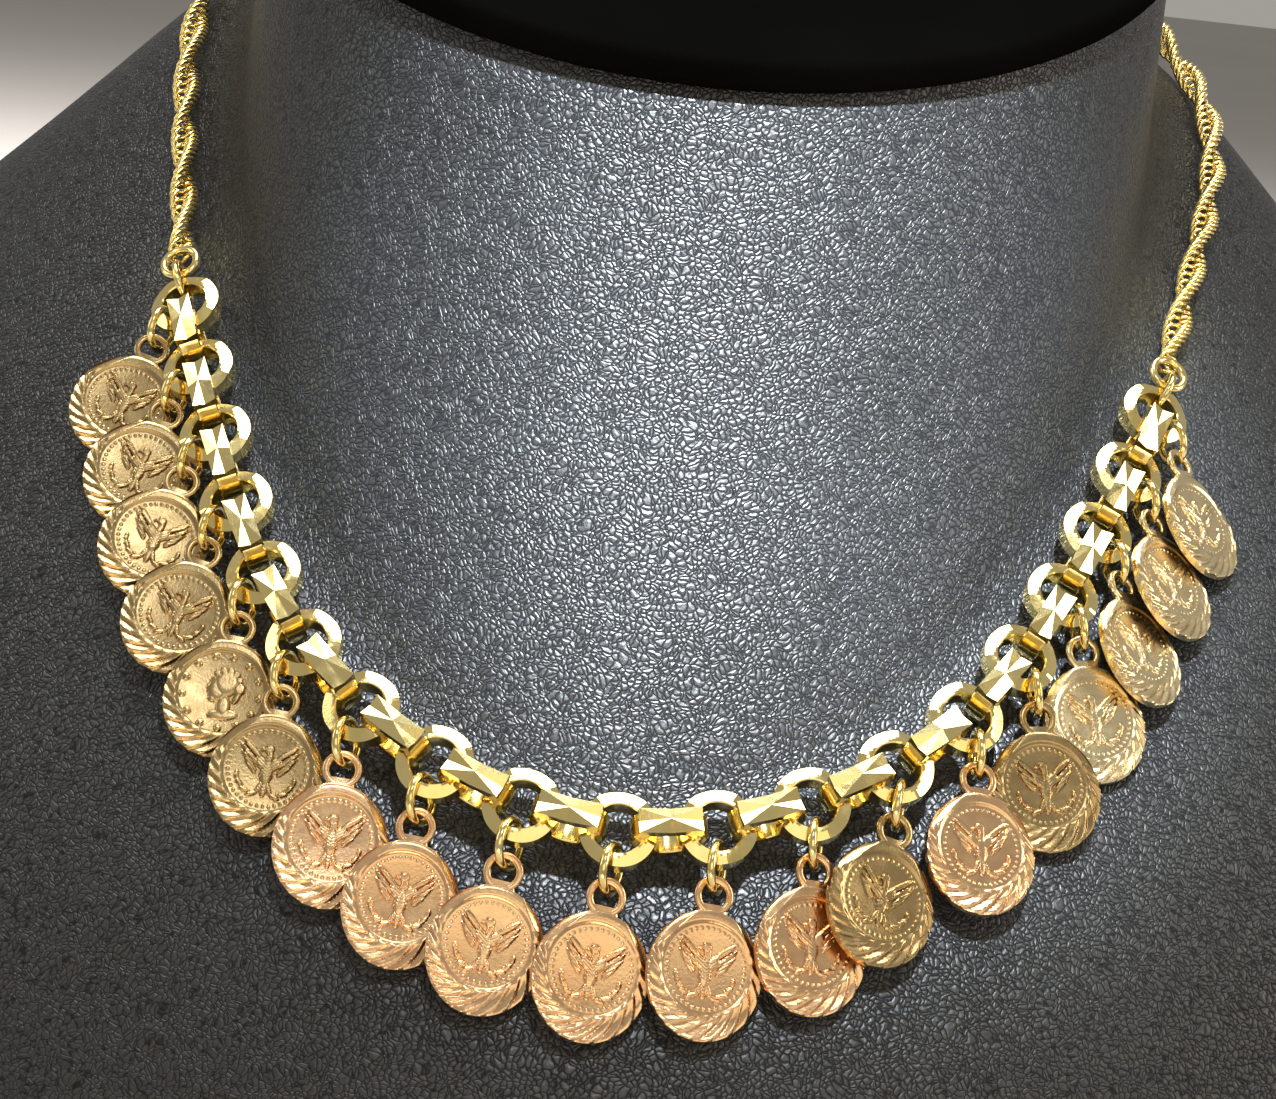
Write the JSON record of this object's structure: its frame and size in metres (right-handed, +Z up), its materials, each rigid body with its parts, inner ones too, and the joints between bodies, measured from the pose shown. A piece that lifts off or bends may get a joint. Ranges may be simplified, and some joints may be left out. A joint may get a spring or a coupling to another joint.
{
  "type": "coin necklace on neck bust",
  "caption": "Gold belcher-chain necklace hung with small oval coins, with fine twisted side chains, on a black leatherette neck bust.",
  "frame": {"origin": "middle of the bust's flat base", "axes": "+Z up, -Y out of the chest towards the viewer, +X to the viewer's right, the wearer's left"},
  "size_m": [0.2292, 0.1682, 0.2032],
  "materials": {
    "leatherette": "pebbled satin",
    "cap_leatherette": "smooth satin",
    "yellow_gold": "polished gold",
    "coin_gold": "satin rose gold"
  },
  "bodies": {
    "root": {"neck_bust": "leatherette", "neck_cap": "cap_leatherette", "belcher_chain": "yellow_gold", "coin_rings": "yellow_gold", "end_rings_left": "yellow_gold", "end_rings_right": "yellow_gold", "fine_chain_left": "yellow_gold", "fine_chain_right": "yellow_gold", "clasp": "yellow_gold", "coin_01": "coin_gold", "coin_02": "coin_gold", "coin_03": "coin_gold", "coin_04": "coin_gold", "coin_05": "coin_gold", "coin_06": "coin_gold", "coin_07": "coin_gold", "coin_08": "coin_gold", "coin_09": "coin_gold", "coin_10": "coin_gold", "coin_11": "coin_gold", "coin_12": "coin_gold", "coin_13": "coin_gold", "coin_14": "coin_gold", "coin_15": "coin_gold", "coin_16": "coin_gold", "coin_17": "coin_gold", "coin_18": "coin_gold", "coin_19": "coin_gold"}
  },
  "joints": []
}
